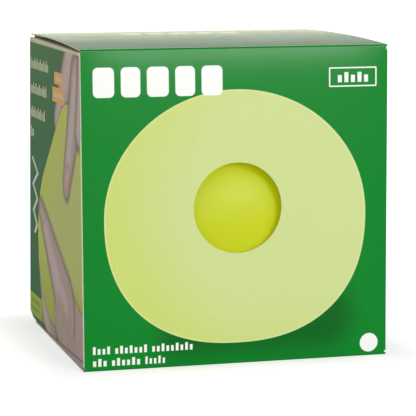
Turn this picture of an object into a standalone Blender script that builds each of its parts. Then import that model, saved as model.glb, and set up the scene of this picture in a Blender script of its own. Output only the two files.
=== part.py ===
"""A jumbo gel stress ball in its tuck-end retail carton.

Metres, +Z up, front face towards -Y, origin at the middle of the carton's footprint.
The carton is one blank of folded paperboard, modelled panel by panel, each panel a piece
that hinges on, or is glued to, the next one. The ball rests inside on the bottom flaps.
"""
import math

import bmesh
import bpy
from mathutils import Matrix, Vector

# Carton, outside sizes
CARTON_WIDTH = 0.1143
CARTON_DEPTH = 0.1016
CARTON_HEIGHT = 0.1148
BOARD = 0.0005
GAP = 0.0003

# Window die-cut in the front panel
WINDOW_RADIUS = 0.0164
WINDOW_HEIGHT = 0.0571
WINDOW_STEPS = 72

# Lid: it has sprung up a little at the back, and its middle bows upwards
LID_SIDE_CLEARANCE = 0.0006
LID_REAR_SETBACK = 0.0016
LID_REAR_RISE = 0.0018
LID_BOW = 0.0009
LID_STEPS = 12

# Flaps
TUCK_LENGTH = 0.0150
TUCK_SIDE_CLEARANCE = 0.0016
TUCK_TAPER = 0.0010
TUCK_CORNER = 0.0070
TUCK_LEAN = math.radians(9)
DUST_LENGTH = 0.0360
DUST_START = 0.0025
DUST_TAPER_END = 0.0255
DUST_REAR_SETBACK = 0.0060
DUST_TAPER = 0.0040
DUST_CORNER = 0.0040
GLUE_FLAP_WIDTH = 0.0150
GLUE_FLAP_TAPER = 0.0050
GLUE_FLAP_END_CLEARANCE = 0.0040
CORNER_STEPS = 6

# Ball: a 4 inch ball, slumped under its own weight and pressed a little flat front and back
BALL_HALF_WIDTH = 0.0520
BALL_HALF_DEPTH = 0.0499
BALL_PRESS_POWER = 12                        # the higher, the sharper the pressed area's edge
BALL_TOP = 0.0980
BALL_WAIST = 0.0505
BALL_FOOT_POWER = 2.3
BALL_SLUMP = 0.0013                         # how much of the foot is pressed flat
SKIN_THICKNESS = 0.0022
PLUG_HOLE_RADIUS = 0.0060
PLUG_RADIUS = 0.0057
PLUG_ROUNDING = 0.0006
PLUG_STEPS = 32
BALL_STEPS = 48
CROWN_RINGS = 14
FOOT_RINGS = 12

HALF_WIDTH = CARTON_WIDTH / 2
HALF_DEPTH = CARTON_DEPTH / 2
LAYER = BOARD + GAP                         # one board and the gap over it
SIDE_BOTTOM = 2 * LAYER                     # the side panels stand on the bottom dust flaps
SIDE_TOP = CARTON_HEIGHT - 2 * LAYER        # and end below the top dust flaps
DUST_TOP = CARTON_HEIGHT - LAYER            # upper face of the top dust flaps
LID_REAR = HALF_DEPTH - LID_REAR_SETBACK
LID_HINGE = Vector((0, -HALF_DEPTH, CARTON_HEIGHT))
TUCK_HINGE = Vector((0, LID_REAR, CARTON_HEIGHT + LID_REAR_RISE))
BALL_BOTTOM = 2 * LAYER                     # it rests on the bottom dust flaps

GREEN = (0.014, 0.235, 0.032)
UNPRINTED = (0.60, 0.56, 0.47)
LIME = (0.62, 0.70, 0.035)
GEL = (0.72, 0.78, 0.20)


def clear_scene():
    """Remove every object that the file starts with."""
    for thing in list(bpy.data.objects):
        bpy.data.objects.remove(thing, do_unlink=True)


def finish_material(name, colour, roughness):
    """A Principled material of one plain colour."""
    material = bpy.data.materials.new(name)
    material.use_nodes = True
    shader = material.node_tree.nodes["Principled BSDF"]
    shader.inputs["Base Color"].default_value = (*colour, 1)
    shader.inputs["Roughness"].default_value = roughness
    shader.inputs["Metallic"].default_value = 0
    material.diffuse_color = (*colour, 1)
    return material


def new_object(name, bm, material, origin=(0, 0, 0), smooth=False):
    """Turn world-space geometry into a named object whose origin is at the given point."""
    bmesh.ops.recalc_face_normals(bm, faces=bm.faces)
    bmesh.ops.translate(bm, verts=bm.verts, vec=-Vector(origin))
    mesh = bpy.data.meshes.new(name)
    bm.to_mesh(mesh)
    bm.free()
    mesh.materials.append(material)
    if smooth:
        mesh.shade_smooth()
        mesh.set_sharp_from_angle(angle=math.radians(35))
    thing = bpy.data.objects.new(name, mesh)
    thing.location = origin
    bpy.context.collection.objects.link(thing)
    return thing


def attach(child, parent):
    """Parent one object to another and leave it where it is."""
    child.location = child.location - parent.location
    child.parent = parent


def rounded(corners):
    """Outline from (u, v, radius) corners, with an arc at each corner that has a radius."""
    points = []
    for index, (u, v, radius) in enumerate(corners):
        here = Vector((u, v))
        if not radius:
            points.append(here)
            continue
        before = (Vector(corners[index - 1][:2]) - here).normalized()
        after = (Vector(corners[(index + 1) % len(corners)][:2]) - here).normalized()
        half_angle = before.angle(after) / 2
        centre = here + (before + after).normalized() * (radius / math.sin(half_angle))
        start = here + before * (radius / math.tan(half_angle)) - centre
        turn = start.angle_signed(here + after * (radius / math.tan(half_angle)) - centre)
        for step in range(CORNER_STEPS + 1):
            points.append(centre + Matrix.Rotation(-turn * step / CORNER_STEPS, 2) @ start)
    return points


def plate(name, outline, corner, u_axis, v_axis, material, origin=(0, 0, 0)):
    """A flat piece of board: an outline in its own u and v axes, made thick along u x v."""
    u_axis, v_axis = Vector(u_axis), Vector(v_axis)
    normal = u_axis.cross(v_axis).normalized()
    bm = bmesh.new()
    lower = [bm.verts.new(Vector(corner) + u_axis * p[0] + v_axis * p[1]) for p in outline]
    face = bm.faces.new(lower)
    grown = bmesh.ops.extrude_face_region(bm, geom=[face])["geom"]
    upper = [item for item in grown if isinstance(item, bmesh.types.BMVert)]
    bmesh.ops.translate(bm, verts=upper, vec=normal * BOARD)
    return new_object(name, bm, material, origin)


def rectangle(width, height):
    """The outline of a plain rectangle from its lower left corner."""
    return [Vector(p) for p in ((0, 0), (width, 0), (width, height), (0, height))]


def make_walls(printed):
    """Front, left, back and right panels and the glue flap that closes the sleeve."""
    front_top = CARTON_HEIGHT - LAYER
    front = plate("front_panel", rectangle(CARTON_WIDTH, front_top),
                  (-HALF_WIDTH, -HALF_DEPTH + BOARD, 0), (1, 0, 0), (0, 0, 1), printed)
    cut_window(front)

    side_length = CARTON_DEPTH - 2 * LAYER
    side = rectangle(side_length, SIDE_TOP - SIDE_BOTTOM)
    side_front = -HALF_DEPTH + LAYER
    plate("left_panel", side, (-HALF_WIDTH, side_front, SIDE_BOTTOM), (0, 1, 0), (0, 0, 1), printed)
    plate("right_panel", side, (HALF_WIDTH - BOARD, side_front, SIDE_BOTTOM),
          (0, 1, 0), (0, 0, 1), printed)
    plate("back_panel", rectangle(CARTON_WIDTH, CARTON_HEIGHT),
          (-HALF_WIDTH, HALF_DEPTH, 0), (1, 0, 0), (0, 0, 1), printed)


def cut_window(front):
    """Cut the round window through the front panel with a Boolean."""
    bpy.ops.mesh.primitive_cylinder_add(
        vertices=WINDOW_STEPS, radius=WINDOW_RADIUS, depth=20 * BOARD,
        location=(0, -HALF_DEPTH, WINDOW_HEIGHT), rotation=(math.radians(90), 0, 0))
    cutter = bpy.context.active_object
    cutter.name = "window_cutter"
    cutter.hide_render = True
    cutter.display_type = "WIRE"
    cut = front.modifiers.new("window", "BOOLEAN")
    cut.operation = "DIFFERENCE"
    cut.solver = "EXACT"
    cut.object = cutter


def make_glue_flap(board):
    """The strip on the right panel's rear edge, glued flat inside the back panel."""
    low = TUCK_LENGTH + GLUE_FLAP_END_CLEARANCE
    high = CARTON_HEIGHT - low
    outline = [Vector((0, low)), Vector((GLUE_FLAP_WIDTH, low + GLUE_FLAP_TAPER)),
               Vector((GLUE_FLAP_WIDTH, high - GLUE_FLAP_TAPER)), Vector((0, high))]
    inside_back = HALF_DEPTH - LAYER - BOARD
    plate("glue_flap", outline, (HALF_WIDTH - LAYER, inside_back, 0), (-1, 0, 0), (0, 0, 1), board)


def dust_outline():
    """Tapered side flap: u runs inwards from its crease, v from the front to the back."""
    front = DUST_START
    back = CARTON_DEPTH - DUST_REAR_SETBACK
    return rounded([(0, front, 0), (DUST_LENGTH, DUST_TAPER_END, DUST_CORNER),
                    (DUST_LENGTH, back - DUST_TAPER, DUST_CORNER), (0, back, 0)])


def make_dust_flaps(board):
    """Two side flaps under the lid, and two on top of the bottom panel."""
    for level, height in (("top", DUST_TOP - BOARD), ("bottom", LAYER)):
        for side, sign in (("left", 1), ("right", -1)):
            edge = -sign * HALF_WIDTH
            crease = (edge, 0, DUST_TOP) if level == "top" else (0, 0, 0)
            corner = (edge, -HALF_DEPTH, height if sign > 0 else height + BOARD)
            plate(f"{level}_dust_flap_{side}", dust_outline(), corner,
                  (sign, 0, 0), (0, 1, 0), board, crease)


def lid_rise(along):
    """How far the lid stands above its flat place, from 0 at its crease to 1 at its rear."""
    return LID_REAR_RISE * along + 4 * LID_BOW * along * (1 - along)


def make_lid(printed):
    """The top panel, bowed, hinged on the front panel's top crease."""
    start = -HALF_DEPTH + GAP
    length = LID_REAR - start
    half = HALF_WIDTH - LID_SIDE_CLEARANCE
    steps = [step / LID_STEPS for step in range(LID_STEPS + 1)]
    upper = [(start + length * t, CARTON_HEIGHT + lid_rise(t)) for t in steps]
    profile = upper + [(y, z - BOARD) for y, z in reversed(upper)]
    bm = bmesh.new()
    end = bm.faces.new([bm.verts.new((-half, y, z)) for y, z in profile])
    grown = bmesh.ops.extrude_face_region(bm, geom=[end])["geom"]
    far = [item for item in grown if isinstance(item, bmesh.types.BMVert)]
    bmesh.ops.translate(bm, verts=far, vec=(2 * half, 0, 0))
    return new_object("top_lid", bm, printed, LID_HINGE)


def tuck_outline():
    """Tuck flap: v runs from below its crease to the rounded free edge."""
    half = HALF_WIDTH - TUCK_SIDE_CLEARANCE
    tip = half - TUCK_TAPER
    return rounded([(-half, LAYER, 0), (half, LAYER, 0), (tip, TUCK_LENGTH, TUCK_CORNER),
                    (-tip, TUCK_LENGTH, TUCK_CORNER)])


def make_tuck_flaps(board):
    """The flap that locks the lid inside the back panel, and its twin at the bottom."""
    hang = (0, -math.sin(TUCK_LEAN), -math.cos(TUCK_LEAN))
    plate("bottom_tuck_flap", tuck_outline(), (0, HALF_DEPTH - LAYER, 0),
          (1, 0, 0), (0, 0, 1), board)
    return plate("top_tuck_flap", tuck_outline(), TUCK_HINGE, (-1, 0, 0), hang, board, TUCK_HINGE)


def make_bottom(printed):
    """The bottom panel that everything stands on."""
    start = -HALF_DEPTH + LAYER
    half = HALF_WIDTH - LID_SIDE_CLEARANCE
    outline = rectangle(2 * half, HALF_DEPTH - LAYER - start)
    plate("bottom_panel", outline, (-half, start, 0), (1, 0, 0), (0, 1, 0), printed)


def ball_profile(inset, hole):
    """Radius and height down the ball, from its fill hole to the middle of its foot."""
    crown = BALL_TOP - BALL_WAIST - inset
    foot = BALL_WAIST - BALL_BOTTOM + BALL_SLUMP - inset
    lowest = BALL_BOTTOM + inset
    widest = BALL_HALF_WIDTH - inset
    first = math.asin(hole / widest)
    points = []
    for ring in range(CROWN_RINGS + 1):
        angle = first + (math.pi / 2 - first) * ring / CROWN_RINGS
        points.append((widest * math.sin(angle), BALL_WAIST + crown * math.cos(angle)))
    for ring in range(1, FOOT_RINGS + 1):
        angle = math.pi / 2 * ring / FOOT_RINGS
        power = 2 / BALL_FOOT_POWER
        height = BALL_WAIST - foot * math.sin(angle) ** power
        points.append((widest * abs(math.cos(angle)) ** power, max(height, lowest)))
    return points


def pressed(depth, widest):
    """Depth on a round ball, brought in where the carton's front and back press on it."""
    share = BALL_HALF_DEPTH / BALL_HALF_WIDTH
    reach = widest * (share ** -BALL_PRESS_POWER - 1) ** (-1 / BALL_PRESS_POWER)
    return depth / (1 + abs(depth / reach) ** BALL_PRESS_POWER) ** (1 / BALL_PRESS_POWER)


def turned(name, profile, material, origin, press=False, steps=BALL_STEPS):
    """A solid of revolution about Z from a profile that starts and ends on the axis."""
    bm = bmesh.new()
    first, *middle, last = profile
    widest = max(radius for radius, height in middle)
    rings = []
    for radius, height in middle:
        ring = []
        for step in range(steps):
            turn = 2 * math.pi * step / steps
            depth = radius * math.sin(turn)
            ring.append(bm.verts.new((radius * math.cos(turn),
                                      pressed(depth, widest) if press else depth, height)))
        rings.append(ring)
    start, end = (bm.verts.new((0, 0, height)) for height in (first[1], last[1]))
    for step in range(steps):
        after = (step + 1) % steps
        bm.faces.new((start, rings[0][step], rings[0][after]))
        bm.faces.new((end, rings[-1][after], rings[-1][step]))
        for upper, lower in zip(rings, rings[1:]):
            bm.faces.new((upper[step], lower[step], lower[after], upper[after]))
    return new_object(name, bm, material, origin, smooth=True)


def make_ball(skin_material, gel_material):
    """Rubber skin with a fill hole on top, the gel inside it, and the plug in the hole."""
    outer = ball_profile(0, PLUG_HOLE_RADIUS)
    inner = ball_profile(SKIN_THICKNESS, PLUG_HOLE_RADIUS)
    skin = turned("ball_skin", inner[::-1] + outer, skin_material, (0, 0, BALL_BOTTOM),
                  press=True)

    gel_surface = ball_profile(SKIN_THICKNESS + GAP, PLUG_HOLE_RADIUS)
    gel_top = gel_surface[0][1]
    gel = turned("gel_core", [(0, gel_top)] + gel_surface, gel_material, (0, 0, BALL_BOTTOM),
                 press=True)

    plug_top = outer[0][1]
    plug_bottom = gel_top + GAP
    plug_profile = [(0, plug_top), (PLUG_RADIUS - PLUG_ROUNDING, plug_top),
                    (PLUG_RADIUS, plug_top - PLUG_ROUNDING), (PLUG_RADIUS, plug_bottom),
                    (0, plug_bottom)]
    plug = turned("fill_plug", plug_profile, skin_material, (0, 0, plug_top), steps=PLUG_STEPS)
    attach(gel, skin)
    attach(plug, skin)


def main():
    clear_scene()
    printed = finish_material("printed_board", GREEN, 0.4)
    board = finish_material("plain_board", UNPRINTED, 0.8)
    skin = finish_material("ball_rubber", LIME, 0.45)
    gel = finish_material("gel", GEL, 0.3)

    make_walls(printed)
    make_glue_flap(board)
    make_bottom(printed)
    make_dust_flaps(board)
    lid = make_lid(printed)
    tuck = make_tuck_flaps(board)
    attach(tuck, lid)
    make_ball(skin, gel)


main()
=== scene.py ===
"""Looks of the jumbo gel stress ball in its tuck-end window carton, on a plain white floor."""
import math

import bmesh
import bpy
from mathutils import Matrix, Vector


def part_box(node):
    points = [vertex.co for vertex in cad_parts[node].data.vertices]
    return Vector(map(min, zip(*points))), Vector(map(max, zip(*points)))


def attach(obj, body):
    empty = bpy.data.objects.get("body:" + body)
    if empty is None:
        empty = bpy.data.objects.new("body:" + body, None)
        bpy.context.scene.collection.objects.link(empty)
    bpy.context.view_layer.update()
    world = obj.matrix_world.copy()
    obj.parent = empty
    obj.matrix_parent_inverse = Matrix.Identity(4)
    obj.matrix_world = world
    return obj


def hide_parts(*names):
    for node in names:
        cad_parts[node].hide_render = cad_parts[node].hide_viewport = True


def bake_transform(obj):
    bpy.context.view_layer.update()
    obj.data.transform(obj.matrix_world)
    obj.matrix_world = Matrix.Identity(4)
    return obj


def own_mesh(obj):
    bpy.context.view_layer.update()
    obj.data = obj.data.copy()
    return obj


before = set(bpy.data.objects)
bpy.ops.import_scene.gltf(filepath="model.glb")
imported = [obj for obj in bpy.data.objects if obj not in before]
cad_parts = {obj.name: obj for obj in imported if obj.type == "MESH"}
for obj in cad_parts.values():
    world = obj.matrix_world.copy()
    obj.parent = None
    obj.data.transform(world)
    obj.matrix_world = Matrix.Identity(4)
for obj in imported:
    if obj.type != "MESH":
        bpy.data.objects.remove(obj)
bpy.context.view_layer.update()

MM = 0.001
SOFT_EDGE = 0.15 * MM  # blur at the edge of a printed picture's parts

# ---- Sizes read from the frame ----
FRONT_LOW, FRONT_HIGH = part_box("front_panel")
BACK_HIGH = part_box("back_panel")[1]
LEFT_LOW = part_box("left_panel")[0]
LID_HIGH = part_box("top_lid")[1]
TUCK_LOW, TUCK_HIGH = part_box("top_tuck_flap")
DUST_LOW, DUST_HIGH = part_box("top_dust_flap_left")
BASE_LOW, BASE_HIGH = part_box("bottom_panel")
SKIN_LOW, SKIN_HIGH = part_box("ball_skin")
PLUG_LOW, PLUG_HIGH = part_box("fill_plug")

HALF_WIDTH = FRONT_HIGH[0]
HALF_DEPTH = BACK_HIGH[1]
HEIGHT = BACK_HIGH[2]
BOARD = FRONT_HIGH[1] - FRONT_LOW[1]
LID_REACH = LID_HIGH[0] + 0.4 * MM  # the visible lid's edge, nearly flush with the sides
LID_REAR = LID_HIGH[1]
SIDE_TOP = DUST_HIGH[2] - 0.4 * MM  # where the side panels' top creases end, at the front
SIDE_BOTTOM = LEFT_LOW[2] - BOARD - 0.3 * MM

# ---- Sizes that the frame doesn't hold, as in the CAD source ----
WINDOW_RADIUS = 16.4 * MM
WINDOW_HEIGHT = 57.1 * MM
LID_REAR_RISE = 1.8 * MM
LID_BOW = 0.9 * MM
TUCK_LEAN = math.radians(9)
BALL_TOP = 98.0 * MM
BALL_WAIST = 50.5 * MM
BALL_PRESS_POWER = 12
BALL_FOOT_POWER = 2.3
BALL_SLUMP = 1.3 * MM
PLUG_HOLE_RADIUS = 6.0 * MM
PLUG_ROOM = 1.6 * MM  # between plug and gel, taken up when the ball is squeezed
SKIN_THICKNESS = 2.2 * MM

# ---- Sizes of the visible pieces only ----
FOLD = 0.8 * MM  # outer radius of a crease
CREASE_STEPS = 8  # facets round a crease
SIDE_TOP_RISE = 1.7 * MM  # how much higher the side panels' tops spring at the back
SIDE_FLARE = 1.8 * MM  # how far the left panel leans out at its rear foot
FRONT_BULGE = 0.8 * MM  # the ball presses the thin board out a little
BULGE_POWER = 8  # flat in the middle, rolled off near the folds
DUST_DROOP = math.radians(2.6)  # how far the top dust flaps hang below their folds
CUT_CLEARANCE = 0.2 * MM  # between a side panel's edge and its dust flap's fold
REAR_NICK = 0.7 * MM  # slanted corner at the rear of a side panel's top
BOTTOM_INSET = 0.15 * MM  # bottom panel's side edges, in from the carton's width
TUCK_INSET = 1.0 * MM  # ends of the bottom tuck fold, in from the panel's ends
GEL_GAP = 0.3 * MM  # between the visible gel and the skin round it

SIDES = (("left", -1), ("right", 1))
PRINTED, INSIDE, CUT = 0, 1, 2  # a board piece's materials, in order
SAME_WAY = 0.7  # normals closer than about 45 degrees

# ---- Colours, linear ----
GREEN = (0.0020, 0.222, 0.022)
SIDE_GREEN = (0.004, 0.180, 0.022)
SHADE_GREEN = (0.003, 0.110, 0.012)
PALE_LIME = (0.60, 0.69, 0.29)
EDGE_LIME = (0.575, 0.668, 0.17)
RIM_LIME = (0.72, 0.80, 0.42)
WHITE_INK = (0.90, 0.91, 0.88)
CREAM_INK = (0.86, 0.86, 0.58)
ORANGE_INK = (1.0, 0.50, 0.125)
LABEL_LIME = (0.47, 0.62, 0.03)
NOTE_GREEN = (0.05, 0.16, 0.06)
SIDE_LIME = (0.66, 0.75, 0.11)
SIDE_LIME_PALE = (0.62, 0.68, 0.22)
SIDE_LIME_SHADE = (0.30, 0.40, 0.03)
LIME_SHADOW = (0.03, 0.05, 0.01)
SOFT_SHADOW = (0.05, 0.05, 0.02)
SKIN_TONE = (0.57, 0.42, 0.38)
SKIN_SHADE = (0.26, 0.15, 0.13)
SKIN_LIGHT = (0.80, 0.67, 0.62)
NAIL = (0.62, 0.38, 0.35)
RAW_BOARD = (0.62, 0.59, 0.50)
FIBRE_DARK = (0.42, 0.38, 0.30)
FIBRE_LIGHT = (0.80, 0.78, 0.70)
CUT_PLY = (0.74, 0.72, 0.65)
CUT_PLY_DARK = (0.45, 0.42, 0.34)
# painted light: a lighter ply colour for the bottom panel's cut edge, which sits in shade
CUT_EDGE_PAINTED_LIGHT = (0.92, 0.91, 0.88)
# cream of the unprinted folds: white board with painted yellowish bounce light
CREASE_CREAM = (0.72, 0.72, 0.46)
CREAM_FIBRE = (0.50, 0.48, 0.32)
# painted shade and painted shadow at the side panels' feet
FOOT_SHADE = (0.42, 0.39, 0.46)
FOOT_SHADOW_LINE = (0.02, 0.03, 0.02)
WORN_GREEN = (0.30, 0.45, 0.27)
# worn ink along a fold, and a painted highlight on the rounded crease
WEAR_AND_HIGHLIGHT_WHITE = (0.80, 0.76, 0.70)
BALL_LIME = (0.41, 0.46, 0.001)
BALL_CLOUD = (0.47, 0.52, 0.02)
BALL_DUST = (0.75, 0.80, 0.45)
# painted light: colour of the ball's glow, which fills its shaded parts
BALL_PAINTED_GLOW = (0.60, 0.68, 0.0)
GEL_LIME = (0.66, 0.74, 0.16)
GEL_BUBBLE = (0.82, 0.88, 0.45)
WORLD_WHITE = (1.0, 0.99, 0.97)
WORLD_GLOW = (0.97, 0.97, 0.66)  # the low light behind the object, a little yellow
FLOOR_GREY = (0.6, 0.6, 0.6)

# ---- Brightness of the studio ----
WORLD_BEHIND = 2.4
WORLD_SIDES = 0.52
WORLD_FRONT = 1.15
WORLD_ABOVE = 0.44
FLOOR_BOUNCE = 0.80  # what the floor throws back on the object,
FLOOR_BOUNCE_GLOSSY = 0.45  # and what shows in its gloss
# the glow is weaker near the object: painted shade on the floor round its foot
FLOOR_GLOW_NEAR = 0.59  # the floor's own glow under the object
FLOOR_GLOW_REACH = 0.045  # metres from the object to where it is fully white


# ---- Fields: numbers that vary over a surface, written as sums in a material's node tree ----
class Field:
    """A socket of a node tree that can be used in arithmetic."""

    def __init__(self, tree, socket):
        self.tree = tree
        self.socket = socket

    def math(self, operation, *others):
        node = self.tree.nodes.new("ShaderNodeMath")
        node.operation = operation
        for slot, value in enumerate((self, *others)):
            plug(self.tree, value, node.inputs[slot])
        return Field(self.tree, node.outputs[0])

    def __add__(self, other):
        return self.math("ADD", other)

    def __sub__(self, other):
        return self.math("SUBTRACT", other)

    def __mul__(self, other):
        return self.math("MULTIPLY", other)

    def __truediv__(self, other):
        return self.math("DIVIDE", other)

    def __pow__(self, other):
        return self.math("POWER", other)

    def __rsub__(self, other):
        return self.math("MULTIPLY", -1.0) + other

    def __neg__(self):
        return self.math("MULTIPLY", -1.0)

    def __abs__(self):
        return self.math("ABSOLUTE")

    def lowest(self, other):
        return self.math("MINIMUM", other)

    def highest(self, other):
        return self.math("MAXIMUM", other)

    def clamp(self):
        return self.highest(0.0).lowest(1.0)

    def root(self):
        return self.math("SQRT")

    def ramp(self, start, end):
        """0 at start, 1 at end, smooth between them."""
        node = self.tree.nodes.new("ShaderNodeMapRange")
        node.interpolation_type = "SMOOTHSTEP"
        plug(self.tree, self, node.inputs["Value"])
        node.inputs["From Min"].default_value = start
        node.inputs["From Max"].default_value = end
        return Field(self.tree, node.outputs["Result"])

    def inside(self, soft=0.09 * MM):
        """1 where this distance is below 0, with an edge as soft as ink on board."""
        return self.ramp(soft, -soft)


def plug(tree, value, socket):
    """Link a field to a socket, or set the socket to a plain number."""
    if isinstance(value, Field):
        tree.links.new(value.socket, socket)
    else:
        socket.default_value = value


def mix(tree, factor, first, second):
    """A colour mix from first to second, each of them a colour or a socket."""
    node = tree.nodes.new("ShaderNodeMix")
    node.data_type = "RGBA"
    plug(tree, factor, node.inputs["Factor"])
    for name, colour in (("A", first), ("B", second)):
        if isinstance(colour, tuple):
            node.inputs[name].default_value = (*colour, 1)
        else:
            tree.links.new(colour, node.inputs[name])
    return node.outputs["Result"]


def place(tree, kind="Object"):
    """The surface's rest position in metres, or another kind of coordinates, as three fields."""
    source = tree.nodes.new("ShaderNodeTexCoord")
    split = tree.nodes.new("ShaderNodeSeparateXYZ")
    tree.links.new(source.outputs[kind], split.inputs[0])
    return [Field(tree, split.outputs[axis]) for axis in range(3)]


def noise(tree, scale, detail=2.0, roughness=0.5, stretch=(1, 1, 1)):
    """Noise between 0 and 1, its scale in cycles per metre."""
    source = tree.nodes.new("ShaderNodeTexCoord")
    mapping = tree.nodes.new("ShaderNodeMapping")
    mapping.inputs["Scale"].default_value = stretch
    node = tree.nodes.new("ShaderNodeTexNoise")
    node.inputs["Scale"].default_value = scale
    node.inputs["Detail"].default_value = detail
    node.inputs["Roughness"].default_value = roughness
    tree.links.new(source.outputs["Object"], mapping.inputs["Vector"])
    tree.links.new(mapping.outputs["Vector"], node.inputs["Vector"])
    return Field(tree, node.outputs["Fac"])


def disc(u, v, centre, radius):
    """Distance in metres to a circle; its centre and radius are in millimetres, as in all prints."""
    du, dv = u - centre[0] * MM, v - centre[1] * MM
    return (du * du + dv * dv).root() - radius * MM


def bar(u, v, centre, size, corner=0.0):
    """Distance to a rectangle with rounded corners."""
    du = abs(u - centre[0] * MM) - (size[0] / 2 - corner) * MM
    dv = abs(v - centre[1] * MM) - (size[1] / 2 - corner) * MM
    outside = (du.highest(0.0) ** 2.0 + dv.highest(0.0) ** 2.0).root()
    return outside + du.highest(dv).lowest(0.0) - corner * MM


def limb(u, v, start, end, radii):
    """Distance to a rounded stroke from start to end whose radius changes along it."""
    along = ((end[0] - start[0]) * MM, (end[1] - start[1]) * MM)
    length_squared = along[0] ** 2 + along[1] ** 2
    du, dv = u - start[0] * MM, v - start[1] * MM
    t = ((du * along[0] + dv * along[1]) / length_squared).clamp()
    eu, ev = du - t * along[0], dv - t * along[1]
    return (eu * eu + ev * ev).root() - t * ((radii[1] - radii[0]) * MM) - radii[0] * MM


def slumped_ball(u, v, centre, half_width, above, below, power=2.3):
    """Share of the way out to a slumped ball's outline, 1 on the outline itself."""
    du = abs(u - centre[0] * MM) / (half_width * MM)
    dv = v - centre[1] * MM
    upper = ((du * du) + (dv / (above * MM)) ** 2.0).root()
    down = (-dv).highest(0.0) / (below * MM)
    lower = (du ** power + down ** power) ** (1 / power)
    is_lower = dv.ramp(0.0001 * MM, -0.0001 * MM)
    return upper + (lower - upper) * is_lower


def together(*distances):
    """Distance to the nearest of several shapes."""
    joined = distances[0]
    for distance in distances[1:]:
        joined = joined.lowest(distance)
    return joined


def words(u, v, start, line, lengths, height, gap=1.6, pitch=1.7):
    """Distance to a line of greeked words: plain blocks, some tall and some short.

    A line starts at start and runs to +u, or to -u if its lengths are negative. Each length is
    one word, split into blocks about a pitch apart. The sine of a block's number decides whether
    it is a tall one, so that the mix looks irregular.
    """
    block_gap, short_top, taller, below = (share * height * MM for share in (0.14, 0.22, 0.28, 0.5))
    shapes = []
    for length in lengths:
        word = abs(length)
        count = max(round(word / pitch), 1)
        block = word * MM / count
        across = (u - start * MM) * (count / (length * MM))
        edges = block_gap - across.math("PINGPONG", 0.5) * block
        ends = abs(across - count / 2) * block - (word / 2 - 0.12 * height) * MM
        mixed = (across.math("FLOOR") * 2.4 + word).math("SINE")
        top = v - (line * MM + short_top) - mixed.ramp(0.30, 0.31) * taller
        bottom = line * MM - below - v
        shapes.append(edges.highest(ends).highest(top).highest(bottom))
        start += length + math.copysign(gap, length)
    return together(*shapes)


# ---- Materials ----
def new_material(name, roughness=0.5, **settings):
    """A Principled material and its tree; settings are shader sockets by name."""
    material = bpy.data.materials.new(name)
    material.use_nodes = True
    shader = material.node_tree.nodes["Principled BSDF"]
    shader.inputs["Roughness"].default_value = roughness
    for socket, value in settings.items():
        shader.inputs[socket.replace("_", " ")].default_value = value
    return material, material.node_tree, shader


class Ink:
    """Colours laid one over another on a panel."""

    def __init__(self, tree, colour):
        self.tree = tree
        node = tree.nodes.new("ShaderNodeRGB")
        node.outputs[0].default_value = (*colour, 1)
        self.socket = node.outputs[0]

    def lay(self, colour, cover):
        """Lay a colour where cover is 1."""
        self.socket = mix(self.tree, cover, self.socket, colour)


def bump(tree, height, strength, distance):
    """A bump node that is driven by a field."""
    node = tree.nodes.new("ShaderNodeBump")
    node.inputs["Strength"].default_value = strength
    node.inputs["Distance"].default_value = distance
    plug(tree, height, node.inputs["Height"])
    return node


def board_bump(tree, shader, fine=0.35, slow=0.5):
    """Paper grain under the varnish, and the slow waves of a thin board."""
    grain = noise(tree, 2600, detail=3, roughness=0.6)
    waves = noise(tree, 28, detail=1)
    large = bump(tree, waves, slow, 0.5 * MM)
    small = bump(tree, grain, fine, 0.03 * MM)
    tree.links.new(large.outputs["Normal"], small.inputs["Normal"])
    tree.links.new(small.outputs["Normal"], shader.inputs["Normal"])


def board_gloss(tree, shader, low, high):
    """Satin varnish, a little uneven."""
    patchy = noise(tree, 300, detail=3)
    plug(tree, patchy * (high - low) + low, shader.inputs["Roughness"])


def print_grain(tree, ink):
    """The slight speckle of printed colour."""
    speckle = noise(tree, 1500, detail=2)
    ink.lay((0.0, 0.0, 0.0), (speckle - 0.5).highest(0.0) * 0.12)
    ink.lay((1.0, 1.0, 1.0), (0.5 - speckle).highest(0.0) * 0.02)


def finish_board(material, tree, shader, ink, low=0.20, high=0.26):
    """Printed and varnished board; its roughness wanders between low and high."""
    print_grain(tree, ink)
    tree.links.new(ink.socket, shader.inputs["Base Color"])
    board_bump(tree, shader)
    board_gloss(tree, shader, low, high)
    return material


def ball_picture(tree, ink, u, v, centre, half_width, above, below):
    """The printed ball: a soft shadow at its foot, a pale matte body and a light rim."""
    share = slumped_ball(u, v, centre, half_width, above, below)
    foot = limb(u, v, (centre[0] - 20, centre[1] - below + 4), (centre[0] + 32, centre[1] - below + 8),
                (6, 9))
    ink.lay(SHADE_GREEN, foot.ramp(9 * MM, -4 * MM) * 0.85)
    body = share.ramp(1.0035, 0.9965)
    ink.lay(PALE_LIME, body)
    cloud = noise(tree, 26, detail=2)
    pale = (centre[0] + 0.38 * half_width, centre[1] + 0.08 * half_width)
    away = disc(u, v, pale, 0.0) + (cloud - 0.5) * (0.3 * half_width * MM)
    ink.lay(EDGE_LIME, body * away.ramp(0.70 * half_width * MM, 1.38 * half_width * MM) * 0.95)
    rim = share.ramp(0.984, 0.998) * body
    ink.lay(RIM_LIME, rim * 0.7)


def title_blocks(u, v, start, line, height, widths=(7.6, 7.0, 7.9, 7.2, 7.7), gap=2.4):
    """A heavy heading in plain rounded blocks."""
    shapes = []
    for width in widths:
        shapes.append(bar(u, v, (start + width / 2, line), (width, height), 1.8))
        start += width + gap
    return together(*shapes)


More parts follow.
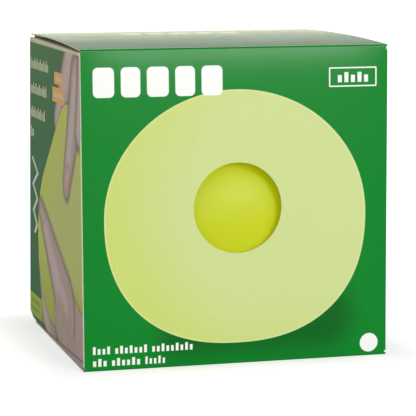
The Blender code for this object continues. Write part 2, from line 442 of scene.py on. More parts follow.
def front_print():
    """The window side: printed ball, heading, framed label, two lines and a white spot."""
    material, tree, shader = new_material("front_print", Specular_IOR_Level=0.2)
    x, z = place(tree)[::2]
    ink = Ink(tree, GREEN)
    ball_picture(tree, ink, x, z, (-0.3, 54.0), 48.7, 45.7, 46.1)
    heading = title_blocks(x, z, -52.5, 103.1, 10.6)
    label_frame = abs(bar(x, z, (43.5, 103.3), (17.8, 6.6), 0.2)) - 0.24 * MM
    label = words(x, z, 37.2, 103.2, (12.6,), 3.6, pitch=2.5)
    upper_line = words(x, z, -54.0, 7.6, (6.9, 12.3, 15.7), 2.8, 1.2)
    lower_line = words(x, z, -54.0, 3.2, (5.7, 11.0, 8.0), 2.8, 1.2)
    spot = disc(x, z, (50.2, 5.0), 3.5)
    for mark in (heading, label_frame, label, upper_line, lower_line, spot):
        ink.lay(WHITE_INK, mark.inside())
    return finish_board(material, tree, shader, ink)


def draw_finger(ink, u, v, start, end, radii, nail=0.0):
    """A rounded finger with its own soft shadow, darker edges and, if asked for, a nail."""
    tip_radius = radii[0] * MM
    shape = limb(u, v, start, end, radii)
    cover = shape.inside(SOFT_EDGE)
    ink.lay(SOFT_SHADOW, shape.ramp(2.6 * MM, -0.5 * MM) * 0.5)
    ink.lay(SKIN_TONE, cover)
    ink.lay(SKIN_SHADE, cover * shape.ramp(-0.6 * tip_radius, 0.0) * 0.75)
    core = limb(u, v, (start[0] + 0.25 * radii[0], start[1]), (end[0] + 0.25 * radii[1], end[1]),
                (0.35 * radii[0], 0.35 * radii[1]))
    ink.lay(SKIN_LIGHT, cover * core.ramp(0.6 * tip_radius, -0.3 * tip_radius) * 0.55)
    if nail:
        run, rise = end[0] - start[0], end[1] - start[1]
        length = math.hypot(run, rise)
        root = (start[0] + run / length * nail, start[1] + rise / length * nail)
        plate = limb(u, v, start, root, (0.48 * radii[0], 0.58 * radii[0]))
        ink.lay(SKIN_SHADE, plate.ramp(0.5 * MM, 0.0) * 0.6)
        ink.lay(NAIL, plate.inside(0.2 * MM) * 0.9)
        ink.lay(SKIN_LIGHT, plate.ramp(-0.2 * tip_radius, -0.45 * tip_radius) * 0.6)


def hand_picture(tree, ink, u, v):
    """A plain drawn hand squeezing a ball: fingers from above, thumb and palm from below."""
    draw_finger(ink, u, v, (-9, 87), (-38, 113), (7.0, 12))
    draw_finger(ink, u, v, (29, 30), (10, 2), (3.6, 12))
    ball = together(limb(u, v, (-30, 61), (1, 39.5), (33, 31.5)), disc(u, v, (-36, 50), 42))
    cover = ball.inside(SOFT_EDGE)
    ink.lay(LIME_SHADOW, ball.ramp(2.4 * MM, 0.0) * 0.35)
    ink.lay(SIDE_LIME, cover)
    ink.lay(SIDE_LIME_PALE, cover * ball.ramp(-2 * MM, -26 * MM) * 0.8)
    ink.lay(SIDE_LIME_SHADE, cover * (v - 40 * MM).ramp(0.0, -30 * MM) * 0.45)
    draw_finger(ink, u, v, (-24.5, 64.5), (-46, 101), (6.2, 12.5), nail=5.0)
    draw_finger(ink, u, v, (-49, 86), (-60, 112), (7.5, 12))
    palm = limb(u, v, (-18, 14), (-46, -12), (17, 34))
    ink.lay(SOFT_SHADOW, palm.ramp(3 * MM, 0.0) * 0.45)
    ink.lay(SKIN_TONE, palm.inside(SOFT_EDGE))
    draw_finger(ink, u, v, (25.5, 49), (-22, 17), (4.6, 15), nail=5.0)
    wrist = limb(u, v, (-10, 12), (-34, -14), (11, 24))
    ink.lay(SKIN_TONE, wrist.ramp(2 * MM, -5 * MM))
    ink.lay(SKIN_LIGHT, wrist.ramp(-6 * MM, -22 * MM) * 0.5)
    pores = noise(tree, 110, detail=3)
    skin_cover = together(palm, wrist).inside(SOFT_EDGE)
    ink.lay(SKIN_SHADE, skin_cover * (pores - 0.5).highest(0.0) * 0.8)


def squiggle(u, v):
    """A hand-drawn zigzag stroke that narrows as it runs down."""
    foot, tall, turn_height = 38 * MM, 30 * MM, 5.2 * MM
    height = (v - foot) / tall
    swing = (v * (1 / turn_height)).math("PINGPONG", 1.0) * 2.0 - 1.0
    centre = swing * (height * 3.0 + 3.0) * MM + 38.5 * MM
    stroke = abs(u - centre) * 0.42 - 0.75 * MM
    ends = abs(height - 0.5) * tall - tall / 2
    return stroke.highest(ends)


def left_print():
    """The hand with its ball, four lines, two orange tags, a zigzag and a lime label."""
    material, tree, shader = new_material("left_print", Specular_IOR_Level=0.12)
    y, z = place(tree)[1:]
    ink = Ink(tree, SIDE_GREEN)
    hand_picture(tree, ink, y, z)
    rows = ((105.2, -39), (95.4, -35), (86.0, -31.5), (78.2, -7.5))
    lines = [words(y, z, 48.5, row, (length,), 4.2, pitch=2.6) for row, length in rows]
    ink.lay(CREAM_INK, together(*lines).inside())
    tags = together(bar(y, z, (-10.6, 102.2), (16.0, 4.6), 0.4),
                    bar(y, z, (-10.4, 96.0), (23.5, 5.6), 0.4))
    ink.lay(ORANGE_INK, tags.inside())
    small = together(words(y, z, -5.0, 102.2, (-11.5,), 1.9), words(y, z, -1.5, 96.0, (-18,), 2.1))
    ink.lay(CREAM_INK, small.inside() * 0.8)
    ink.lay(WHITE_INK, squiggle(y, z).inside())
    label = bar(y, z, (41.0, 8.6), (32.0, 9.2), 0.4)
    ink.lay(LABEL_LIME, label.inside())
    notes = [words(y, z, 47.0, row, (length,), 1.3, pitch=1.2) for row, length in ((10.4, -18), (7.2, -15))]
    ink.lay(SIDE_GREEN, together(*notes).inside() * 0.7)
    unprinted_margins(ink, y, z)
    return finish_board(material, tree, shader, ink)


def unprinted_margins(ink, y, z):
    """The side panels' print stops short of the creases: a cream band above, and below a purple-grey band
    of painted shade on the unprinted board, topped by a painted dark shadow line.

    Both bands change their width a little from front to back.
    """
    back = (y + HALF_DEPTH) / (2 * HALF_DEPTH)
    top = z - back * (0.9 * MM) - (SIDE_TOP - 1.0 * MM)
    # cream band: the unprinted board, its tint painted bounce light
    ink.lay(CREASE_CREAM, top.ramp(-0.08 * MM, 0.08 * MM))
    foot = z + back * (2.4 * MM) - 3.6 * MM
    # painted shade: the unprinted board below the print, in shade, laid as purple-grey
    ink.lay(FOOT_SHADE, foot.ramp(0.1 * MM, -0.1 * MM))
    # painted shadow: a dark line along the top of that band
    ink.lay(FOOT_SHADOW_LINE, (abs(foot) - 0.2 * MM).inside(0.12 * MM) * 0.9)


def right_print():
    """A printed ball under two lines."""
    material, tree, shader = new_material("right_print", Specular_IOR_Level=0.12)
    y, z = place(tree)[1:]
    ink = Ink(tree, SIDE_GREEN)
    ball_picture(tree, ink, y, z, (6.0, 46.0), 36.0, 34.0, 33.0)
    lines = together(words(y, z, -44, 103, (20, 26, 18), 4.2, pitch=2.6),
                     words(y, z, -44, 95, (30, 22), 4.2, pitch=2.6))
    ink.lay(CREAM_INK, lines.inside())
    unprinted_margins(ink, y, z)
    return finish_board(material, tree, shader, ink)


def back_print():
    """Heading, lines, a printed ball, three marks of a squeezed ball, and a white notes panel."""
    material, tree, shader = new_material("back_print", Specular_IOR_Level=0.2)
    x, z = place(tree)[::2]
    x = -x  # so that lines start at the left, seen from behind
    ink = Ink(tree, GREEN)
    ball_picture(tree, ink, x, z, (22.0, 66.0), 27.0, 25.0, 24.5)
    ink.lay(WHITE_INK, title_blocks(x, z, -51, 104.0, 7.6, (5.1, 4.7, 5.3, 4.8, 5.1), 1.6).inside())
    for row, lengths in enumerate(((16, 11, 8), (9, 14, 12), (12, 6, 15), (18, 10))):
        ink.lay(CREAM_INK, words(x, z, -51, 90 - 5.0 * row, lengths, 2.0, 1.4).inside())
    for index in range(3):
        centre = (-44 + 16 * index, 52)
        ring = abs(disc(x, z, centre, 5.6)) - 0.35 * MM
        ink.lay(WHITE_INK, ring.inside())
        ink.lay(WHITE_INK, slumped_mark(x, z, centre, 1 - 0.22 * index).inside())
    ink.lay(WHITE_INK, bar(x, z, (0, 18), (104, 24), 1.5).inside())
    for row, lengths in enumerate(((14, 22, 9, 16), (20, 8, 24), (11, 17, 13, 10), (25, 14))):
        ink.lay(NOTE_GREEN, words(x, z, -47, 26 - 4.4 * row, lengths, 1.2, 1.2).inside())
    ink.lay(GREEN, disc(x, z, (40, 18), 6.5).inside())
    return finish_board(material, tree, shader, ink)


def slumped_mark(u, v, centre, squash):
    """A small ball, more and more squeezed."""
    du, dv = (u - centre[0] * MM) * squash, (v - centre[1] * MM) / squash
    return (du * du + dv * dv).root() - 2.7 * MM


def lid_print():
    """The heading again, over one line."""
    material, tree, shader = new_material("lid_print", Specular_IOR_Level=0.2)
    x, y = place(tree)[:2]
    ink = Ink(tree, GREEN)
    ink.lay(CREAM_INK, title_blocks(x, y, -26, 22.0, 11.4).inside())
    ink.lay(CREAM_INK, words(x, y, -25, 8.0, (12, 18, 14), 2.8).inside())
    return finish_board(material, tree, shader, ink, low=0.17, high=0.22)


def plain_print():
    """Printed board with nothing on its green."""
    material, tree, shader = new_material("plain_print", Specular_IOR_Level=0.2)
    ink = Ink(tree, GREEN)
    return finish_board(material, tree, shader, ink)


def crease_print():
    """Printed board stretched over a fold, where the ink has worn a little."""
    material, tree, shader = new_material("crease_print", Specular_IOR_Level=0.2)
    ink = Ink(tree, GREEN)
    worn = noise(tree, 260, detail=4, roughness=0.7)
    ink.lay(WORN_GREEN, (worn - 0.60).ramp(0.0, 0.15) * 0.25)
    return finish_board(material, tree, shader, ink)


def corner_print():
    """The fold between the left and front panels: the side's print runs round to a white line of worn ink
    and painted highlight.
    """
    material, tree, shader = new_material("corner_print", Specular_IOR_Level=0.2)
    y, z = place(tree)[1:]
    ink = Ink(tree, GREEN)
    depth = y + HALF_DEPTH
    side = (depth - 0.22 * MM).ramp(-0.05 * MM, 0.05 * MM) * (z - 2 * MM).ramp(-0.2 * MM, 0.2 * MM)
    ink.lay(SKIN_TONE, side)
    ball = (abs(z - 54.5 * MM) - 28.5 * MM).inside(0.4 * MM)
    ink.lay(SIDE_LIME, side * ball)
    worn = noise(tree, 420, detail=3)
    line = (abs(depth - 0.2 * MM) - 0.1 * MM).inside(0.06 * MM)
    # white line: worn ink with a painted highlight of the rounded fold
    ink.lay(WEAR_AND_HIGHLIGHT_WHITE, line * (worn + 0.4).clamp())
    return finish_board(material, tree, shader, ink)


def cream_board():
    """Unprinted board at the side panels' folds, tinted cream: painted yellowish bounce light on the white
    board.
    """
    material, tree, shader = new_material("cream_board", roughness=0.7)
    ink = Ink(tree, CREASE_CREAM)
    fibres = noise(tree, 900, detail=3)
    ink.lay(CREAM_FIBRE, (fibres - 0.5).highest(0.0) * 0.8)
    tree.links.new(ink.socket, shader.inputs["Base Color"])
    return material


def raw_board():
    """The grey inside of the board, with its fibres."""
    material, tree, shader = new_material("raw_board", roughness=0.85)
    ink = Ink(tree, RAW_BOARD)
    fibres = noise(tree, 700, detail=4, roughness=0.65, stretch=(1, 1, 2.5))
    ink.lay(FIBRE_DARK, (fibres - 0.5).highest(0.0) * 1.2)
    ink.lay(FIBRE_LIGHT, (0.5 - fibres).highest(0.0) * 0.8)
    tree.links.new(ink.socket, shader.inputs["Base Color"])
    board_bump(tree, shader, fine=0.6, slow=0.2)
    return material


def cut_edge(name="cut_edge", colour=CUT_PLY):
    """The plies of the board where it was die-cut."""
    material, tree, shader = new_material(name, roughness=0.9)
    ink = Ink(tree, colour)
    plies = noise(tree, 3000, detail=2)
    ink.lay(CUT_PLY_DARK, (plies - 0.45).highest(0.0) * 1.5)
    tree.links.new(ink.socket, shader.inputs["Base Color"])
    return material


def ball_rubber():
    """Soft rubber, faintly dusty; its emission is painted light that lifts the shade on it."""
    # the emission is painted light, not a lamp
    material, tree, shader = new_material(
        "ball_rubber", Specular_IOR_Level=0.3, Subsurface_Weight=1.0, Subsurface_Radius=(1.0, 0.95, 0.1),
        Subsurface_Scale=1.8 * MM, Emission_Color=(*BALL_PAINTED_GLOW, 1), Emission_Strength=0.30)
    ink = Ink(tree, BALL_LIME)
    cloud = noise(tree, 45, detail=3)
    dust = noise(tree, 900, detail=3, roughness=0.7)
    ink.lay(BALL_CLOUD, (cloud - 0.4).highest(0.0) * 0.8)
    ink.lay(BALL_DUST, (dust - 0.62).highest(0.0) * 0.4)
    tree.links.new(ink.socket, shader.inputs["Base Color"])
    plug(tree, dust * 0.15 + 0.33, shader.inputs["Roughness"])
    grain = bump(tree, noise(tree, 1400, detail=3), 0.4, 0.05 * MM)
    tree.links.new(grain.outputs["Normal"], shader.inputs["Normal"])
    return material


def gel():
    """Lime gel with small bubbles, inside the skin."""
    material, tree, shader = new_material(
        "gel", roughness=0.15, Subsurface_Weight=0.5, Subsurface_Radius=(1.0, 1.0, 0.4),
        Subsurface_Scale=5 * MM)
    ink = Ink(tree, GEL_LIME)
    bubbles = noise(tree, 220, detail=3)
    ink.lay(GEL_BUBBLE, (bubbles - 0.6).highest(0.0) * 2.0)
    tree.links.new(ink.socket, shader.inputs["Base Color"])
    return material


# ---- Board pieces ----
def finished(name, bm, materials, smooth=False):
    """Make an object from geometry that is already in the shared frame."""
    mesh = bpy.data.meshes.new(name)
    bm.to_mesh(mesh)
    bm.free()
    for material in materials:
        mesh.materials.append(material)
    if smooth:
        mesh.shade_smooth()
        mesh.set_sharp_from_angle(angle=math.radians(40))
    piece = bpy.data.objects.new(name, mesh)
    bpy.context.collection.objects.link(piece)
    return piece


def colour_by_facing(bm, outward):
    """Print on faces that look outward, raw board on the inside, and plies on the cut edges."""
    bm.normal_update()
    for face in bm.faces:
        facing = face.normal.dot(outward)
        face.material_index = PRINTED if facing > SAME_WAY else INSIDE if facing < -SAME_WAY else CUT


def slab(name, low, high, outward, materials, parts=1):
    """A flat panel that fills a box, printed on the side that looks outward."""
    bm = bmesh.new()
    bmesh.ops.create_cube(bm, size=1)
    low, high = Vector(low), Vector(high)
    for vert in bm.verts:
        vert.co = Vector(low[axis] + (vert.co[axis] + 0.5) * (high[axis] - low[axis]) for axis in range(3))
    bmesh.ops.recalc_face_normals(bm, faces=bm.faces)
    colour_by_facing(bm, Vector(outward))
    divide(bm, 0, low[0], high[0], parts)
    divide(bm, 2, low[2], high[2], parts)
    return finished(name, bm, materials)


def front_bulge(x, z):
    """How far the ball pushes the front panel out of its plane; it rolls off towards the folds."""
    across = 1 - (x / (HALF_WIDTH - FOLD)) ** BULGE_POWER
    up = 1 - ((z - HEIGHT / 2) / (HEIGHT / 2 - FOLD)) ** BULGE_POWER
    return FRONT_BULGE * max(across, 0) * max(up, 0)


def flare(x, y, z):
    """How far the left panel leans out: most at its rear foot, where the flap inside pushes it."""
    back = (y + HALF_DEPTH) / (2 * HALF_DEPTH)
    foot = min(max(z / (6 * MM), 0), 1)  # the bottom fold itself stays where it is
    left = max(-x / HALF_WIDTH, 0)
    return SIDE_FLARE * back * (1 - z / HEIGHT) * foot * foot * (3 - 2 * foot) * left ** 2


def lean_out(piece):
    """Move a wall's points out with the left panel's flare."""
    for vert in piece.data.vertices:
        vert.co.x -= flare(*vert.co)


def divide(bm, axis, start, end, parts):
    """Cut geometry into equal parts along an axis, so that it can bend."""
    normal = Vector((0, 0, 0))
    normal[axis] = 1
    for part in range(1, parts):
        cut = normal * (start + (end - start) * part / parts)
        bmesh.ops.bisect_plane(bm, geom=bm.verts[:] + bm.edges[:] + bm.faces[:], plane_co=cut,
                               plane_no=normal, dist=0.001 * MM)


def side_board(name, start, end, outward, materials):
    """A side panel: its top edge stands up beside the dust flap's fold, with a nicked rear corner."""
    wall, low, top = HALF_DEPTH - FOLD, SIDE_BOTTOM + FOLD, SIDE_TOP
    fold_start, fold_end = DUST_LOW[1] - CUT_CLEARANCE, DUST_HIGH[1] + CUT_CLEARANCE
    outline = [(-wall, low), (wall, low), (wall, top - FOLD), (wall - REAR_NICK, top), (fold_end, top),
               (fold_end, top - FOLD), (fold_start, top - FOLD), (fold_start, top), (-wall, top)]
    bm = bmesh.new()
    sides = [[bm.verts.new((x, y, z)) for y, z in outline] for x in (start, end)]
    for index in range(len(outline)):
        after = (index + 1) % len(outline)
        bm.faces.new((sides[0][index], sides[0][after], sides[1][after], sides[1][index]))
    for side in sides:
        bm.faces.new(side)
    bmesh.ops.recalc_face_normals(bm, faces=bm.faces)
    colour_by_facing(bm, Vector(outward))
    bend = 10 * MM  # the flare is strongest below this height
    divide(bm, 1, -wall, wall, 4)
    divide(bm, 2, 0, bend, 6)
    divide(bm, 2, bend, 110 * MM, 8)
    board = finished(name, bm, materials, smooth=True)
    spring_up(board, above=HEIGHT / 2)
    lean_out(board)
    return board


def windowed_front(materials, spokes=160, rings=26):
    """The front panel: a sheet that runs from the window's rim out to its four edges."""
    half, low, high = HALF_WIDTH - FOLD, FOLD - WINDOW_HEIGHT, HEIGHT - FOLD - WINDOW_HEIGHT
    corners = [math.atan2(z, x) % (2 * math.pi) for x in (-half, half) for z in (low, high)]
    angles = sorted([2 * math.pi * i / spokes for i in range(spokes)] + corners)
    least = 1e-9  # keeps the divisions finite
    bm = bmesh.new()
    sheets = []
    for back in (0, BOARD):
        rows = []
        for angle in angles:
            run, rise = math.cos(angle), math.sin(angle)
            to_side = half / max(abs(run), least)
            to_end = (high if rise > 0 else -low) / max(abs(rise), least)
            reach = min(to_side, to_end)
            row = []
            for ring in range(rings + 1):
                away = WINDOW_RADIUS + (reach - WINDOW_RADIUS) * ring / rings
                x, z = away * run, away * rise + WINDOW_HEIGHT
                row.append(bm.verts.new((x, back - HALF_DEPTH - front_bulge(x, z), z)))
            rows.append(row)
        sheets.append(rows)
    front, rear = sheets
    count = len(angles)
    for here in range(count):
        after = (here + 1) % count
        for ring in range(rings):
            for rows in sheets:
                bm.faces.new((rows[here][ring], rows[here][ring + 1],
                              rows[after][ring + 1], rows[after][ring]))
        for ring in (0, rings):
            bm.faces.new((front[here][ring], front[after][ring], rear[after][ring], rear[here][ring]))
    bmesh.ops.recalc_face_normals(bm, faces=bm.faces)
    colour_by_facing(bm, Vector((0, -1, 0)))
    return finished("front_board", bm, materials, smooth=True)


def sprung(y):
    """How much higher the side panels' top folds stand at a depth y than at the front."""
    return SIDE_TOP_RISE * (y + HALF_DEPTH) / (2 * HALF_DEPTH)


def spring_up(piece, above=0.0):
    """Lift a piece's points above a height to follow the side panels' sprung folds."""
    for vert in piece.data.vertices:
        if vert.co.z > above:
            vert.co.z += sprung(vert.co.y)


def crease(name, corner, first, second, along, length, materials, parts=1):
    """A quarter-round fold between two panels.

    corner is the sharp outer corner at the strip's start, first and second point from it
    into the two panels, and along runs down the fold.
    """
    corner, first, second, along = (Vector(v) for v in (corner, first, second, along))
    centre = corner + (first + second) * FOLD
    bm = bmesh.new()
    rings = []
    for part in range(parts + 1):
        end = length * part / parts
        outer, inner = [], []
        for step in range(CREASE_STEPS + 1):
            angle = math.pi / 2 * step / CREASE_STEPS
            spoke = -(second * math.sin(angle) + first * math.cos(angle))
            outer.append(bm.verts.new(centre + spoke * FOLD + along * end))
            inner.append(bm.verts.new(centre + spoke * (FOLD - BOARD) + along * end))
        rings.append(outer + inner[::-1])
    count = len(rings[0])
    for index in range(count):
        after = (index + 1) % count
        for ring, following in zip(rings, rings[1:]):
            bm.faces.new((ring[index], ring[after], following[after], following[index]))
    bm.faces.new(rings[0])
    bm.faces.new(rings[-1])
    bmesh.ops.recalc_face_normals(bm, faces=bm.faces)
    bm.normal_update()
    for face in bm.faces:
        middle = face.calc_center_median() - centre
        middle -= along * middle.dot(along)
        if abs(face.normal.dot(along)) > SAME_WAY:
            face.material_index = CUT
        else:
            face.material_index = PRINTED if middle.length > FOLD - BOARD / 2 else INSIDE
    return finished(name, bm, materials, smooth=True)


def from_cad(name, node, outward, materials, shape=None):
    """A copy of a CAD plate with its own materials, and its points moved by shape."""
    bm = bmesh.new()
    bm.from_mesh(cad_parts[node].data)
    if shape:
        for vert in bm.verts:
            vert.co = shape(vert.co)
    bmesh.ops.remove_doubles(bm, verts=bm.verts, dist=0.01 * MM)
    bmesh.ops.dissolve_limit(bm, angle_limit=math.radians(1), verts=bm.verts, edges=bm.edges)
    bmesh.ops.recalc_face_normals(bm, faces=bm.faces)
    colour_by_facing(bm, Vector(outward))
    return finished(name, bm, materials)


def lid_height(y):
    """Top of the bowed lid at a depth y."""
    t = (y + HALF_DEPTH) / (LID_REAR + HALF_DEPTH)
    return HEIGHT + LID_REAR_RISE * t + 4 * LID_BOW * t * (1 - t)


def bowed_lid(materials):
    """The lid: a thin sheet, bowed from front to back."""
    across, deep = 28, 30
    start, end = -HALF_DEPTH + FOLD, LID_REAR - FOLD
    bm = bmesh.new()
    layers = []
    for drop in (0, BOARD):
        rows = []
        for j in range(deep + 1):
            y = start + (end - start) * j / deep
            row = []
            for i in range(across + 1):
                x = LID_REACH * (2 * i / across - 1)
                row.append(bm.verts.new((x, y, lid_height(y) - drop)))
            rows.append(row)
        layers.append(rows)
    for layer, rows in enumerate(layers):
        for j in range(deep):
            for i in range(across):
                loop = (rows[j][i], rows[j][i + 1], rows[j + 1][i + 1], rows[j + 1][i])
                bm.faces.new(loop if layer == 0 else loop[::-1])
    upper, lower = layers
    rim = [(j, 0) for j in range(deep + 1)] + [(deep, i) for i in range(1, across + 1)]
    rim += [(j, across) for j in range(deep - 1, -1, -1)] + [(0, i) for i in range(across - 1, 0, -1)]
    for here, after in zip(rim, rim[1:] + rim[:1]):
        bm.faces.new((upper[here[0]][here[1]], upper[after[0]][after[1]],
                      lower[after[0]][after[1]], lower[here[0]][here[1]]))
    bmesh.ops.recalc_face_normals(bm, faces=bm.faces)
    colour_by_facing(bm, Vector((0, 0, 1)))
    return finished("lid_board", bm, materials, smooth=True)


def make_walls(looks):
    """Four walls and the folds between them."""
    front = windowed_front(looks["front"])
    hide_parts("front_panel")
    pieces = [front]
    for side, sign in SIDES:
        start, end = sorted((sign * HALF_WIDTH, sign * (HALF_WIDTH - BOARD)))
        wall = side_board(f"{side}_board", start, end, (sign, 0, 0), looks[side])
        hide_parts(f"{side}_panel")
        pieces.append(wall)
    across = HALF_WIDTH - FOLD
    back = slab("back_board", (-across, HALF_DEPTH - BOARD, 0), (across, HALF_DEPTH, HEIGHT),
                (0, 1, 0), looks["back"], parts=18)
    lean_out(back)
    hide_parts("back_panel")
    pieces.append(back)
    low, high = SIDE_BOTTOM + FOLD, SIDE_TOP - FOLD
    for side, sign in SIDES:
        for end, turn in (("front", -1), ("back", 1)):
            look = looks["corner"] if (side, end) == ("left", "front") else looks["fold"]
            fold = crease(f"{end}_{side}_crease", (sign * HALF_WIDTH, turn * HALF_DEPTH, low),
                          (-sign, 0, 0), (0, -turn, 0), (0, 0, 1), high - low, look, parts=36)
            spring_up(fold, above=HEIGHT / 2)
            lean_out(fold)
            pieces.append(fold)
    for piece in pieces:
        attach(piece, "carton")


def make_bottom(looks):
    """Bottom panel, its folds and its dust flaps; the glue and tuck flaps keep their CAD shape."""
    half = HALF_WIDTH - BOTTOM_INSET
    base = slab("bottom_board", (-half, -HALF_DEPTH + FOLD, BASE_LOW[2]),
                (half, BASE_HIGH[1] - FOLD, BASE_HIGH[2]), (0, 0, -1), looks["bottom"])
    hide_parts("bottom_panel")
    length = BASE_HIGH[0] - BASE_LOW[0]
    front_fold = crease("bottom_front_crease", (-half, -HALF_DEPTH, 0), (0, 0, 1), (0, 1, 0),
                        (1, 0, 0), 2 * half, looks["fold"])
    rear_fold = crease("bottom_tuck_crease", (BASE_LOW[0] + TUCK_INSET, BASE_HIGH[1], 0), (0, 0, 1),
                       (0, -1, 0), (1, 0, 0), length - 2 * TUCK_INSET, looks["plain"])
    pieces = [base, front_fold, rear_fold]
    for side, sign in SIDES:
        low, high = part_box(f"bottom_dust_flap_{side}")
        pieces.append(crease(f"bottom_dust_crease_{side}", (sign * HALF_WIDTH, low[1], SIDE_BOTTOM),
                             (0, 0, 1), (-sign, 0, 0), (0, 1, 0), high[1] - low[1], looks["cream"]))
    for piece in pieces:
        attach(piece, "carton")
    for side, sign in SIDES:
        flap = from_cad(f"bottom_dust_board_{side}", f"bottom_dust_flap_{side}", (0, 0, -1),
                        looks["inside"], lambda co, s=sign: trimmed(co, s))
        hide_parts(f"bottom_dust_flap_{side}")
        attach(flap, "carton")
    for node in ("glue_flap", "bottom_tuck_flap"):
        recolour(node, looks["inside"][0])


def recolour(node, material):
    """Give a CAD piece that stays as it is one material."""
    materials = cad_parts[node].data.materials
    materials.clear()
    materials.append(material)


def trimmed(co, sign):
    """A dust flap's point, pulled in from the panel's face to where its fold ends."""
    limit = HALF_WIDTH - FOLD
    if abs(co.x) > limit:
        return Vector((sign * limit, co.y, co.z))
    return co


def make_top(looks):
    """Lid, tuck flap and dust flaps with the folds that bend when they open."""
    lid = bowed_lid(looks["lid"])
    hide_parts("top_lid")
    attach(lid, "lid")
    fold = crease("lid_crease", (-LID_REACH, -HALF_DEPTH, HEIGHT), (0, 0, -1), (0, 1, 0), (1, 0, 0),
                  2 * LID_REACH, looks["fold"])
    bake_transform(fold)

    tuck = from_cad("tuck_board", "top_tuck_flap", (0, 1, 0), looks["plain"])
    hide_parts("top_tuck_flap")
    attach(tuck, "tuck")
    corner = Vector((TUCK_LOW[0], LID_REAR, lid_height(LID_REAR)))
    hang = Vector((0, -math.sin(TUCK_LEAN), -math.cos(TUCK_LEAN)))
    tuck_fold = crease("tuck_crease", corner, (0, -1, 0), hang, (1, 0, 0),
                       TUCK_HIGH[0] - TUCK_LOW[0], looks["plain"])
    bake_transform(tuck_fold)

    lift = Vector((0, 0, SIDE_TOP - DUST_HIGH[2]))
    for side, sign in SIDES:
        low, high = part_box(f"top_dust_flap_{side}")
        pivot = Matrix.Translation((sign * HALF_WIDTH, 0, SIDE_TOP))
        turn = pivot @ Matrix.Rotation(-sign * DUST_DROOP, 4, "Y") @ pivot.inverted()
        flap = from_cad(f"dust_board_{side}", f"top_dust_flap_{side}", (0, 0, 1), looks["inside"],
                        lambda co, s=sign, m=turn: m @ (trimmed(co, s) + lift))
        spring_up(flap)
        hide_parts(f"top_dust_flap_{side}")
        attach(flap, f"dust_{side}")
        dust_fold = crease(f"dust_crease_{side}", (sign * HALF_WIDTH, low[1], SIDE_TOP),
                           (0, 0, -1), (-sign, 0, 0), (0, 1, 0), high[1] - low[1], looks["cream"])
        spring_up(dust_fold)
        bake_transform(dust_fold)


# ---- Ball ----
def ball_profile(inset, rings=72):
    """Radius and height down the ball, from its fill hole to the middle of its foot."""
    bottom = SKIN_LOW[2]
    crown = BALL_TOP - BALL_WAIST - inset
    foot = BALL_WAIST - bottom + BALL_SLUMP - inset
    widest = SKIN_HIGH[0] - inset
    first = math.asin(PLUG_HOLE_RADIUS / widest)
    points = []
    for ring in range(rings + 1):
        angle = first + (math.pi / 2 - first) * ring / rings
        points.append((widest * math.sin(angle), BALL_WAIST + crown * math.cos(angle)))
    for ring in range(1, rings + 1):
        angle = math.pi / 2 * ring / rings
        power = 2 / BALL_FOOT_POWER
        height = BALL_WAIST - foot * math.sin(angle) ** power
        points.append((widest * abs(math.cos(angle)) ** power, max(height, bottom + inset)))
    return points


def pressed(depth, widest):
    """Depth on a round ball, brought in where the carton's front and back press on it."""
    share = SKIN_HIGH[1] / SKIN_HIGH[0]
    reach = widest * (share ** -BALL_PRESS_POWER - 1) ** (-1 / BALL_PRESS_POWER)
    return depth / (1 + abs(depth / reach) ** BALL_PRESS_POWER) ** (1 / BALL_PRESS_POWER)


def turned(name, profile, materials, steps=144):
    """A smooth solid turned from a profile that starts and ends on the axis."""
    bm = bmesh.new()
    first, *middle, last = profile
    widest = max(radius for radius, height in middle)
    rings = []
    for radius, height in middle:
        ring = []
        for step in range(steps):
            angle = 2 * math.pi * step / steps
            depth = pressed(radius * math.sin(angle), widest)
            ring.append(bm.verts.new((radius * math.cos(angle), depth, height)))
        rings.append(ring)
    start, end = bm.verts.new((0, 0, first[1])), bm.verts.new((0, 0, last[1]))
    for step in range(steps):
        after = (step + 1) % steps
        bm.faces.new((start, rings[0][step], rings[0][after]))
        bm.faces.new((end, rings[-1][after], rings[-1][step]))
        for upper, lower in zip(rings, rings[1:]):
            bm.faces.new((upper[step], lower[step], lower[after], upper[after]))
    bmesh.ops.recalc_face_normals(bm, faces=bm.faces)
    return finished(name, bm, materials, smooth=True)


def make_ball(looks):
    """Skin, gel and plug; skin and gel flatten when the ball is squeezed."""
    outer = ball_profile(0)
    inner = ball_profile(SKIN_THICKNESS)
    skin = turned("ball_skin_soft", inner[::-1] + outer, looks["rubber"])
    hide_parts("ball_skin")
    filling = ball_profile(SKIN_THICKNESS + GEL_GAP)
    pit = PLUG_LOW[2] - PLUG_ROOM
    gel_body = turned("gel_filling", [(0, pit), (PLUG_HOLE_RADIUS, pit)] + filling, looks["gel"])
    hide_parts("gel_core")
    for piece in (skin, gel_body):
        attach(piece, "ball")
        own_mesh(piece)
    recolour("fill_plug", looks["rubber"][0])


# ---- Camera, light and floor ----
CAMERA_PLACE = Vector((-0.1894, -0.7249, 0.1488))
CAMERA_HEADING = math.radians(14.83)
CAMERA_TILT = math.radians(-7.47)
CAMERA_ROLL = math.radians(-0.30)
CAMERA_LENS = 169.8
FLOOR_HALF = 15  # metres, far past what the camera sees


def make_camera():
    """A long lens from the front left and a little above."""
    data = bpy.data.cameras.new("camera")
    data.lens = CAMERA_LENS
    data.sensor_width = 36
    data.clip_start = 0.01
    data.clip_end = 100
    camera = bpy.data.objects.new("camera", data)
    camera.matrix_world = (Matrix.Translation(CAMERA_PLACE)
                           @ Matrix.Rotation(-CAMERA_HEADING, 4, "Z")
                           @ Matrix.Rotation(math.pi / 2 + CAMERA_TILT, 4, "X")
                           @ Matrix.Rotation(CAMERA_ROLL, 4, "Z"))
    bpy.context.collection.objects.link(camera)
    bpy.context.scene.camera = camera


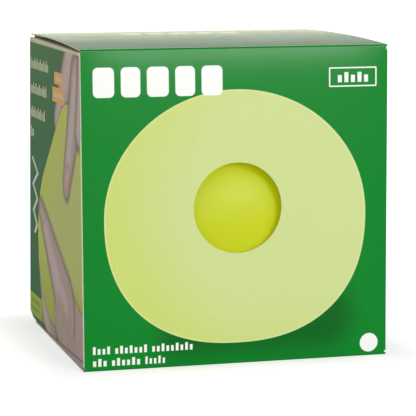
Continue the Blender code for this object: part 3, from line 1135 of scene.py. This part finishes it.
def make_light(name, where, target, size, power):
    """A rectangular softbox at where, turned to target."""
    data = bpy.data.lights.new(name, "AREA")
    data.shape = "RECTANGLE"
    data.size, data.size_y = size
    data.energy = power
    light = bpy.data.objects.new(name, data)
    light.location = where
    aim = Vector(target) - Vector(where)
    light.rotation_euler = aim.to_track_quat("-Z", "Y").to_euler()
    bpy.context.collection.objects.link(light)


def make_world():
    """A white studio: brightest behind the object, dimmer at the sides, white to the camera."""
    world = bpy.data.worlds.new("studio")
    world.use_nodes = True
    tree = world.node_tree
    background = tree.nodes["Background"]
    y, z = place(tree, "Generated")[1:]
    behind = y.ramp(-0.1, 0.9) * z.ramp(0.14, 0.0)
    ahead = y.ramp(0.1, -0.9) * z.ramp(0.7, 0.2)
    rays = tree.nodes.new("ShaderNodeLightPath")
    seen = Field(tree, rays.outputs["Is Camera Ray"])
    tint = mix(tree, behind, WORLD_WHITE, WORLD_GLOW)
    tree.links.new(mix(tree, seen, tint, (1, 1, 1)), background.inputs["Color"])
    around = z.ramp(0.1, 0.8) * (WORLD_ABOVE - WORLD_SIDES) + WORLD_SIDES
    around = around + behind * (WORLD_BEHIND - WORLD_SIDES) + ahead * (WORLD_FRONT - WORLD_SIDES)
    plug(tree, seen * (1.0 - around) + around, background.inputs["Strength"])
    return world


def make_stage():
    """White world, white floor and two softboxes in front."""
    scene = bpy.context.scene
    scene.view_settings.view_transform = "Standard"
    scene.view_settings.look = "None"
    scene.world = make_world()

    bm = bmesh.new()
    bmesh.ops.create_grid(bm, x_segments=1, y_segments=1, size=FLOOR_HALF)
    floor = finished("floor", bm, [floor_paper()])

    make_light("key", (0.66, -1.84, 0.60), (0, -0.03, 0.06), (0.60, 0.60), 12.5)
    make_light("front_fill", (-0.05, -2.5, 0.45), (0, 0, 0.1), (1.4, 0.5), 9)


def floor_paper():
    """White floor. To the camera it adds its own glow, so that it fades to white; the glow is weaker close
    to the object, which paints shade round it.
    """
    material = bpy.data.materials.new("floor_paper")
    material.use_nodes = True
    tree = material.node_tree
    tree.nodes.clear()
    kinds = ("OutputMaterial", "MixShader", "AddShader", "LightPath", "BsdfDiffuse", "BsdfDiffuse",
             "Emission")
    output, either, lit, rays, bounced, seen, glow = (tree.nodes.new("ShaderNode" + kind) for kind in kinds)
    glossy = Field(tree, rays.outputs["Is Glossy Ray"])
    plug(tree, glossy * (FLOOR_BOUNCE_GLOSSY - FLOOR_BOUNCE) + FLOOR_BOUNCE, bounced.inputs["Color"])
    seen.inputs["Color"].default_value = (*FLOOR_GREY, 1)
    x, y = place(tree)[:2]
    away = bar(x, y, (0, 0), (2 * HALF_WIDTH / MM, 2 * HALF_DEPTH / MM))
    far = away.ramp(0.0, FLOOR_GLOW_REACH)
    plug(tree, far * (1 - FLOOR_GLOW_NEAR) + FLOOR_GLOW_NEAR, glow.inputs["Strength"])
    tree.links.new(rays.outputs["Is Camera Ray"], either.inputs[0])
    tree.links.new(bounced.outputs[0], either.inputs[1])
    tree.links.new(seen.outputs[0], lit.inputs[0])
    tree.links.new(glow.outputs[0], lit.inputs[1])
    tree.links.new(lit.outputs[0], either.inputs[2])
    tree.links.new(either.outputs[0], output.inputs["Surface"])
    return material


def make_looks():
    """Lists of materials by name. A board has three: its outer face, its raw inside and its cut edge."""
    raw, edge = raw_board(), cut_edge()
    faces = {"front": front_print(), "left": left_print(), "right": right_print(), "back": back_print(),
             "lid": lid_print(), "plain": plain_print(), "fold": crease_print(), "corner": corner_print(),
             "cream": cream_board(), "inside": raw}
    looks = {name: [face, raw, edge] for name, face in faces.items()}
    # the bottom's cut edge is lighter than the others: painted light on an edge in shade
    looks["bottom"] = [faces["plain"], raw, cut_edge("cut_edge_painted_light", CUT_EDGE_PAINTED_LIGHT)]
    looks["rubber"] = [ball_rubber()]
    looks["gel"] = [gel()]
    return looks


def main():
    make_camera()
    looks = make_looks()
    make_walls(looks)
    make_bottom(looks)
    make_top(looks)
    make_ball(looks)
    make_stage()


main()
